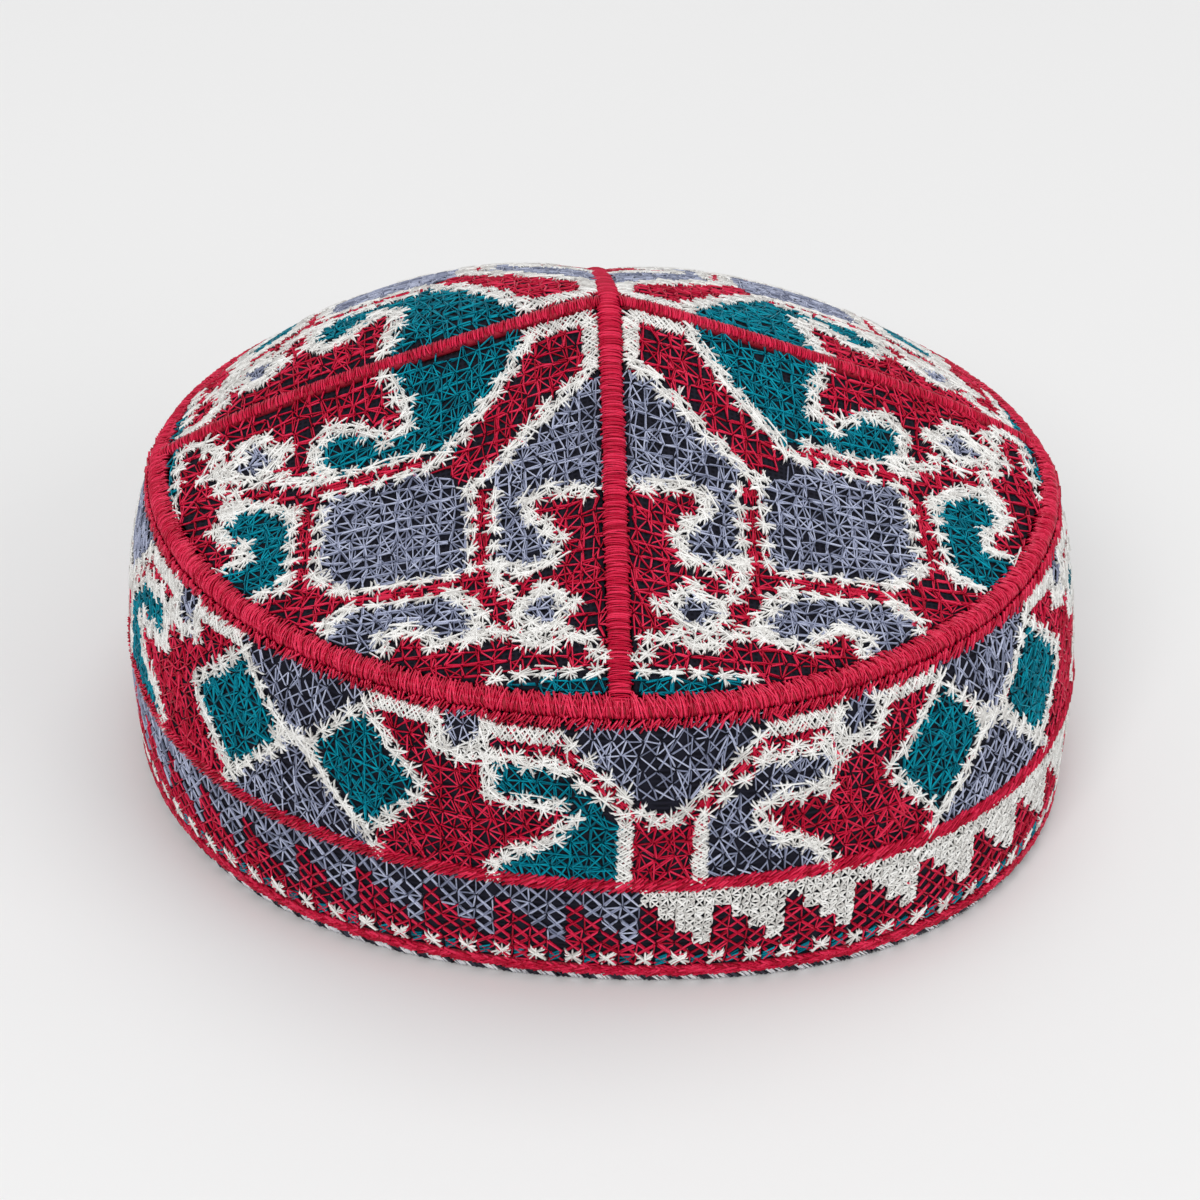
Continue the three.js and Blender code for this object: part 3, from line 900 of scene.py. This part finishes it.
def piping_path(middle, slant, inner_reach, wide):
    """Threads over the piping, from the crown over the top and round to the band side."""
    path, ups = wound(middle, slant, PIPING_TURNS, wide, piping_centre)
    angle = middle - slant / 2
    inner = edge_radius(angle) - PIPING_RADIUS - inner_reach
    place, normal = crown_surface(inner * np.cos(angle), inner * np.sin(angle))
    path[:, 0] = place - normal * THREAD_SINK
    path[:, 1] = (path[:, 0] + path[:, 2]) / 2 + normal * ENTRY_LIFT
    ups[:, 0] = ups[:, 1] = normal
    return path, ups


# The same crimson thread shines more where it is pulled over the piping
shiny_crimson = thread_material("crimson_satin_thread", *THREAD_COLOURS_AND_PAINTED_LIGHT[0][1:], 0.27, 0.8)
count = 2050
middle = spread_round(count, 0.0012)
slant = chance.normal(0.014, 0.018, count)
wide = PIPING_RADIUS + chance.uniform(-0.14, 0.20, count) * MM
inner_reach = chance.uniform(-0.9, 0.9, count) * MM
path, ups = piping_path(middle, slant, inner_reach, wide)
satin = sew("crown_edge_satin", shiny_crimson, path, ups, (0.38, 0.60), 0.1, flatness=0.7)
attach(satin, "root")

# Side band: one loop of the same navy cloth, straight from the crown edge to the hem. It
# swells a little half way down, and its soft hem lies slightly square and askew.
HEM_HALF_WIDTH = 92 * MM
HEM_HALF_LENGTH = 87.5 * MM
HEM_SQUARENESS = 1.7 * MM
HEM_SKEW = -2.5 * MM
BAND_SWELL = 5 * MM
BAND_FULLNESS = 0.6
HEM_EDGING = 2.6 * MM


def hem_radius(angle):
    half_width, half_length = HEM_HALF_WIDTH + HEM_SQUARENESS, HEM_HALF_LENGTH + HEM_SQUARENESS
    oval = 1 / np.hypot(np.cos(angle) / half_width, np.sin(angle) / half_length)
    return oval - HEM_SQUARENESS * np.cos(4 * angle) + HEM_SKEW * np.sin(2 * angle)


def band_radius(angle, height):
    share = np.clip(1 - height / crown_edge_height(angle), 0, 1)
    straight = edge_radius(angle) * (1 - share) + hem_radius(angle) * share
    return straight + BAND_SWELL * (4 * share * (1 - share)) ** BAND_FULLNESS


def band_surface(angle, height):
    step, rise = 0.002, SLOPE_STEP
    radius = band_radius(angle, height)
    turn = band_radius(angle + step, height) - band_radius(angle - step, height)
    turn = turn / (2 * step) / radius
    lean = band_radius(angle, height + rise) - band_radius(angle, height - rise)
    lean = lean / (2 * rise)
    out = round_place(1, angle, np.zeros_like(angle))
    around = np.cross(UP, out)
    normal = out - around * turn[:, None] - UP * lean[:, None]
    return round_place(radius, angle, height), unit_length(normal)


band_bottom = HEM_EDGING + CLEARANCE
piece, around, share = grid_piece("band_cloth", 288, 28)
angle = 2 * math.pi * around
band_top = piping_height(angle) - PIPING_RADIUS - CLEARANCE
height = band_bottom + (band_top - band_bottom) * share
move_vertices(piece, band_surface(angle, height)[0])
weld(piece)
thicken_inwards(piece, CLOTH)


def band_flat(points):
    angle = np.arctan2(points[:, 1], points[:, 0]) / (2 * math.pi) + 0.5
    return np.stack([angle * 0.98 + 0.01, points[:, 2] / 0.12], -1)


set_flat_map(piece, band_flat)
piece.data.materials.append(ground_cloth)
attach(piece, "root")
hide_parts("side_band")

# Band stitches: the same open net and cream stars. Four like units stand round the band,
# each counted in cells from its own middle (across) and from the crown edge (down), with
# a crossed lattice where two units meet.
BAND_CELL = 3.45 * MM
UNIT_REACH = 20.2
UNITS = [
    # middle in degrees, and half width in degrees, below 0 where the colours change sides
    (275.0, 42.5),
    (3.35, 45.85),
    (95.0, 45.85),
    (186.65, -45.85),
]
BAND_AREAS = [
    # colour, colour on the unit's left, outline
    ("slate", "slate", [
        (-0.1, 0.3), (5.6, 0.3), (4.9, 1.9), (3.9, 2.9), (2.9, 3.9), (2.0, 4.8), (1.1, 5.4),
        (-0.1, 5.6),
    ]),
    ("slate", "teal", [
        (2.3, 10.4), (2.3, 6.2), (3.4, 5.1), (4.6, 4.2), (5.3, 3.3), (8.8, 3.3), (8.9, 5.3),
        (5.5, 5.4), (4.9, 6.2), (5.4, 7.3), (6.2, 8.1), (7.4, 8.5), (8.4, 9.2), (8.9, 10.4),
    ]),
    ("slate", "slate", [(9.5, 0.3), (11.9, 0.3), (11.9, 2.9), (9.5, 2.9)]),
    ("slate", "slate", [(15.9, 0.3), (20.3, 0.3), (20.3, 5.0), (19.6, 5.0), (16.2, 1.8)]),
    ("slate", "slate", [(20.3, 5.4), (19.6, 5.4), (15.7, 9.2), (14.9, 10.4), (20.3, 10.4)]),
    ("teal", "teal", [(16.2, 1.9), (12.5, 5.5), (15.7, 9.1), (19.4, 5.3)]),
]
BAND_LINES = [
    # half width, points
    (0.32, [(5.4, 3.1), (8.6, 2.9), (9.1, 3.4), (9.0, 4.9)]),
    (0.32, [(8.7, 5.4), (5.5, 5.6)]),
    (0.36, [(4.9, 6.2), (5.4, 7.3), (6.2, 8.0), (7.4, 8.4), (8.4, 9.0), (8.9, 10.2)]),
    (0.42, [(9.4, 1.3), (9.4, 2.9), (10.7, 3.2), (12.0, 2.9), (12.0, 1.3)]),
    (0.40, [(19.2, 5.2), (20.3, 5.2)]),
]
BAND_BARS = [
    # from, to, half width
    ((1.95, 6.5), (1.95, 10.3), 0.44),
    ((5.6, 1.65), (9.1, 1.6), 0.46),
    ((12.4, 1.5), (15.9, 1.3), 0.42),
]
BAND_NETS = {
    "crimson": [
        (1, 1, 1.4), (-1, 1, 1.4), (1, 0, 0.9), (0, 1, 1.3), (0, 2, 0.3), (2, 0, 0.2), (1, 2, 0.3),
    ],
    "slate": [
        (1, 1, 1.1), (-1, 1, 1.1), (1, 0, 0.25), (0, 1, 0.6), (0, 2, 0.3), (1, 2, 0.3),
        (-1, 2, 0.3),
    ],
    "teal": [
        (1, 1, 1.8), (-1, 1, 1.8), (1, 0, 1.2), (0, 1, 1.8), (0, 2, 0.5), (2, 0, 0.3), (1, 2, 0.3),
    ],
    "cream": [(1, 1, 0.9), (-1, 1, 0.9), (1, 0, 0.5), (0, 1, 0.7)],
}
BAND_STAR_ROWS = [
    # from, to, stars
    ((4.95, 1.9), (1.1, 5.7), 5),
    ((5.1, 3.3), (2.1, 5.9), 4),
    ((0.45, 6.3), (0.0, 6.5), 1),
    ((16.1, 1.8), (12.6, 5.3), 6),
    ((12.9, 6.2), (15.7, 9.2), 5),
    ((15.2, 10.0), (14.8, 10.3), 1),
    ((16.9, 2.5), (19.2, 4.7), 4),
    ((19.2, 5.9), (16.4, 8.7), 5),
]
BAND_DASH_ROWS = [
    # from, to, dashes
    ((4.9, 2.7), (2.2, 5.3), 4),
]


def turned_left(line):
    return [(-u, v) for u, v in line]


def band_colour(u, v):
    rows = BAND_STAR_ROWS + BAND_DASH_ROWS
    colour = paint(u, v, BAND_AREAS, BAND_LINES, BAND_BARS, rows, turned_left)
    outside = (v < 0.7) | (v > 10.1) | (np.abs(u) > UNIT_REACH)
    return np.where(outside, COLOURS.index("bare"), colour)


LINE_ROW = 10.3


def row_height(angle, row):
    """Rows are counted down from the crown edge, and from the couched line on lie level."""
    line_height = edge_height - LINE_ROW * BAND_CELL
    top = crown_edge_height(angle)
    above = top + (line_height - top) * row / LINE_ROW
    return np.where(row < LINE_ROW, above, edge_height - row * BAND_CELL)


def band_place(unit, place):
    middle, half = unit
    angle = np.radians(middle + place[:, 0] / UNIT_REACH * half)
    return *band_surface(angle, row_height(angle, place[:, 1])), np.ones(len(place), bool)


BAND_CHART = {
    "colour_at": band_colour,
    "other": turned_left,
    "nets": BAND_NETS,
    "lines": BAND_LINES,
    "star_rows": BAND_STAR_ROWS,
    "bars": BAND_BARS,
    "dash_rows": BAND_DASH_ROWS,
    "holes": ((-20.2, 20.3), (0.8, 10.6), 0.86, 0.08, 0.06),
    "cream_holes": ((-20.2, 20.3), (0.9, 10.3), 0.65, 0.12, 0.07),
    "chain": (0.78, 1.30),
    "star": 1.25,
    "dash": 1.1,
    "bar": 0.14,
}
for colour, thread in threads.items():
    path, ups = chart_threads(colour, BAND_CHART, UNITS, band_place)
    piece = sew(f"band_stitches_{colour}", thread, path, ups, THREAD_WIDTHS[colour])
    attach(piece, "root")

# Border: stepped triangles between the two couched lines, slate round one half of the
# band and cream round the other, on a crimson net, over a row of cream crosses and teal
# squares.
TRIANGLES = 44
# The border as one unit of the band: where its triangles start, and half width, in degrees
BORDER_UNIT = (272.8, UNIT_REACH * 90 / TRIANGLES)
BORDER_CREAM_LIFT = 0.75 * MM
BORDER_ROWS = np.array([10.8, 11.95, 12.85, 13.75, 14.65, 15.5, 16.35])


def border_colour(u, v):
    """Each triangle is four columns wide above and loses one, on its left, at each row."""
    row = np.searchsorted(BORDER_ROWS, v) - 1
    first_half = np.mod(u, 4 * TRIANGLES) < 2 * TRIANGLES
    lit = np.where(first_half, COLOURS.index("cream"), COLOURS.index("slate"))
    return np.where((row < 4) & (np.floor(np.mod(u, 4)) >= row), lit, COLOURS.index("crimson"))


BORDER_NETS = {
    "crimson": [(1, 1, 2.7), (-1, 1, 2.7), (1, 0, 0.25), (0, 1, 0.6)],
    "slate": [(1, 1, 3.1), (-1, 1, 3.1), (1, 0, 0.35), (0, 1, 0.9)],
    "cream": [(1, 1, 1.9), (-1, 1, 1.9), (1, 0, 1.1), (0, 1, 1.0)],
}


def border_nodes(rows, column_step, shake):
    u, v = np.meshgrid(np.arange(0, 4 * TRIANGLES + 0.1, column_step), rows)
    return u + chance.normal(0, shake, u.shape), v + chance.normal(0, shake, v.shape)


CROSS_ROW = 15.8
CROSS_SIZE = 0.74
SQUARE_REACH = 0.42
CROSS_THREADS = [
    # direction in degrees, length
    (38, 1.0), (52, 1.1), (-38, 1.0), (-52, 1.1), (45, 0.9), (-45, 0.9), (0, 0.7), (90, 0.7),
]
cross_u = np.arange(0.4, 4 * TRIANGLES, 2.0)
cross_sets = []
for turn, length in CROSS_THREADS:
    angle = np.radians(turn + chance.normal(0, 6, cross_u.shape))
    middle = np.stack([cross_u, np.full(cross_u.shape, CROSS_ROW)], -1)
    middle = middle + chance.normal(0, 0.06, middle.shape)
    run = length * CROSS_SIZE * way(angle)
    cross_sets.append((middle - run, middle + run))
square_sets = []
for strand in range(5):
    middle = np.stack([cross_u + 1.0, np.full(cross_u.shape, 15.65 + strand * 0.13)], -1)
    angle = np.radians(-25 + chance.normal(0, 8, cross_u.shape))
    run = SQUARE_REACH * way(angle)
    square_sets.append((middle - run, middle + run))
for colour, thread in threads.items():
    if colour == "teal":
        sets = square_sets
    elif colour == "cream":
        fine_rows = np.interp(np.arange(0, 4.1, 0.5), range(5), BORDER_ROWS[:5])
        u, v = border_nodes(fine_rows, 0.5, 0.04)
        sets = [net_threads(border_colour, colour, u, v, BORDER_NETS[colour], 0.04)] + cross_sets
    else:
        u, v = border_nodes(BORDER_ROWS, 1, 0.05)
        sets = [net_threads(border_colour, colour, u, v, BORDER_NETS[colour], 0.05)]
    high = BORDER_CREAM_LIFT if colour == "cream" else NET_LIFT
    path, ups = lay(band_place, BORDER_UNIT, sets, high)
    piece = sew(f"border_stitches_{colour}", thread, path, ups, THREAD_WIDTHS[colour])
    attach(piece, "root")

# Comb below the piping: a close row of crimson stitches from the underside of the piping
# down over the top edge of the band, and a sparser, longer row that slants across them.
COMB_ROWS = [
    # stitches, piping side in degrees, foot below the edge in mm (least, most), slant,
    # lift in mm
    (980, -14, 3.1, 4.2, 0.005, 0.45),
    (260, -18, 3.6, 4.8, 0.009, 0.65),
]
sets = []
for count, turn, foot_least, foot_most, slope, lift in COMB_ROWS:
    middle = spread_round(count, 0.002)
    slant = chance.normal(slope, 0.005, count)
    turned = np.radians(turn + chance.normal(0, 8, count))
    top = middle + slant
    radius = edge_radius(top) + (PIPING_RADIUS + 0.1 * MM) * np.cos(turned)
    height = piping_height(top) + PIPING_RADIUS * np.sin(turned)
    start = round_place(radius, top, height)
    foot = crown_edge_height(middle) - chance.uniform(foot_least, foot_most, count) * MM
    end, up = band_surface(middle - slant, foot)
    lifts = chance.uniform(lift - 0.2, lift + 0.2, count) * MM
    sets.append(straight_path(start, end, up, lifts, THREAD_SINK / 2))
comb = sew("crown_edge_comb", shiny_crimson, *joined(sets), (0.42, 0.58))
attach(comb, "root")

# Couched lines: two bands of crimson stem stitch, laid in overlapping slanting rows over
# a thin cord. One parts the motifs from the border, the other lies just above the hem.
LINE_RADIUS = 94 * MM
LINE_PITCH = 0.8 * MM
LINES = [
    # node, height, half width, rows of (offset in mm, slant in degrees)
    ("band_line_cord", 26.0 * MM, 1.2 * MM, [(0.85, 36), (0.0, 34), (-0.85, 38)]),
    ("hem_line_cord", 4.15 * MM, 1.1 * MM, [(0.8, -26), (0.27, 24), (-0.27, -24), (-0.8, 26)]),
]
for node, line_height, half, rows in LINES:
    pad, angle, outward, upward = ring_mesh(node.replace("_cord", "_core"), 10)
    place, normal = band_surface(angle, line_height + upward * half * 0.85)
    move_vertices(pad, place + normal * ((0.05 + 0.55 * outward) * MM)[:, None])
    pad.data.materials.append(satin_pad)
    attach(pad, "root")
    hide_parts(node)
    sets = []
    for offset, turn in rows:
        count = int(2 * math.pi * LINE_RADIUS / LINE_PITCH)
        angle = spread_round(count, 0.0012)
        lean = np.radians(turn + chance.normal(0, 7, count))
        half_length = chance.uniform(1.0, 1.5, count) * MM
        height = line_height + (offset + chance.normal(0, 0.12, count)) * MM
        ahead = half_length * np.cos(lean) / LINE_RADIUS
        above = half_length * np.sin(lean)
        start, start_up = band_surface(angle - ahead, height - above)
        end, end_up = band_surface(angle + ahead, height + above)
        up = (start_up + end_up) / 2
        rise = 0.95 - 0.3 * abs(offset) / (half / MM)
        lift = chance.uniform(rise - 0.25, rise + 0.1, count) * MM
        sets.append(straight_path(start, end, up, lift, -0.25 * MM))
    name = node.replace("_cord", "_stitches")
    line = sew(name, threads["crimson"], *joined(sets), (0.42, 0.6))
    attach(line, "root")

# Hem: the folded edge of the band, whipped over with navy thread and every few stitches
# with a bundle of white.
# Hem threads: name, deep (partly painted shade), thread, bright (partly painted highlight), gloss
HEM_COLOURS_AND_PAINTED_LIGHT = [
    ("navy", (0.004, 0.004, 0.009), (0.012, 0.012, 0.026), (0.045, 0.048, 0.080), (1, 1, 1)),
    ("white", (0.58, 0.59, 0.64), (0.80, 0.81, 0.85), (0.94, 0.94, 0.95), (1, 1, 1)),
]
threads |= {row[0]: thread_material(f"{row[0]}_thread", *row[1:]) for row in HEM_COLOURS_AND_PAINTED_LIGHT}
HEM_OUT = -0.15 * MM
FLOOR_GAP = 0.22 * MM
WHIP_TURNS = [140, 115, 88, 60, 30, 0, -35, -62]


def hem_centre(angle):
    return round_place(hem_radius(angle) + HEM_OUT, angle, np.full(angle.shape, HEM_EDGING / 2))


pad, angle, outward, upward = ring_mesh("hem_fold", 12)
radius = hem_radius(angle) + HEM_OUT + outward * (HEM_EDGING / 2 - 0.2 * MM)
height = HEM_EDGING / 2 + upward * HEM_EDGING / 2
move_vertices(pad, round_place(radius, angle, height))
pad.data.materials.append(ground_cloth)
set_flat_map(pad, band_flat)
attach(pad, "root")
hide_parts("hem_edging")


def whip_path(middle):
    """Threads wound round the hem at a long slant, like the strands of a cord."""
    slant = chance.normal(0.058, 0.006, middle.shape)
    wide = HEM_EDGING / 2 + chance.uniform(-0.1, 0.12, middle.shape) * MM
    path, ups = wound(middle, slant, WHIP_TURNS, wide, hem_centre)
    path[..., 2] = np.maximum(path[..., 2], FLOOR_GAP)
    return path, ups


BUNDLES = 106
bundle = np.linspace(0, 2 * math.pi, BUNDLES, endpoint=False)
white_at = np.concatenate([bundle + shift for shift in np.linspace(-0.0135, 0.0135, 6)])
navy_at = np.concatenate([bundle + shift for shift in np.linspace(0.0185, 0.0408, 5)])
for colour, middle in (("navy", navy_at), ("white", white_at)):
    middle = middle + chance.normal(0, 0.0012, middle.shape)
    path, ups = whip_path(middle)
    whip = sew(f"hem_whipping_{colour}", threads[colour], path, ups, (0.46, 0.62))
    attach(whip, "root")

# Table and light: a plain pale floor, a soft key from the upper left in front, a fill
# from the right and one from above.
bpy.ops.mesh.primitive_plane_add(size=14, location=(0, 0, 0))
floor = bpy.context.object
floor.name = floor.data.name = "floor"
floor_paint, nodes, links, shader = new_material("pale_floor", 0.9)
shader.inputs["Base Color"].default_value = (0.84, 0.84, 0.84, 1)
floor.data.materials.append(floor_paint)
floor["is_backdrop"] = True

LAMPS = [
    # name, place, size, power
    ("key", (-1.0, -2.6, 2.2), 1.3, 48),
    ("fill", (2.2, -1.6, 1.4), 2.0, 20),
    ("top", (0.2, 0.8, 3.2), 2.2, 24),
]
for name, place, size, power in LAMPS:
    lamp = bpy.data.lights.new(name, "AREA")
    lamp.size = size
    lamp.energy = power
    holder = bpy.data.objects.new(name, lamp)
    holder.location = place
    towards = Vector((0, 0, 0.04)) - Vector(place)
    holder.rotation_euler = towards.to_track_quat("-Z", "Y").to_euler()
    bpy.context.scene.collection.objects.link(holder)

world = bpy.data.worlds.new("studio")
world.use_nodes = True
world.node_tree.nodes["Background"].inputs["Color"].default_value = (1, 1, 1, 1)
world.node_tree.nodes["Background"].inputs["Strength"].default_value = 0.55
bpy.context.scene.world = world
bpy.context.scene.view_settings.view_transform = "Standard"

# Camera: at the photo's angle, a long lens from about 30 degrees above the front.
lens = bpy.data.cameras.new("photo_angle")
lens.lens = 87.7
lens.sensor_width = 36
camera = bpy.data.objects.new("photo_angle", lens)
bpy.context.scene.collection.objects.link(camera)
camera.location = (-0.0235, -0.5124, 0.3418)
camera.rotation_mode = "QUATERNION"
looking = Vector((0.0392, 0.8524, -0.5215)).to_track_quat("-Z", "Y")
camera.rotation_quaternion = looking @ Quaternion((0, 0, 1), 0.0301)
bpy.context.scene.camera = camera

bpy.context.view_layer.update()
low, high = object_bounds()
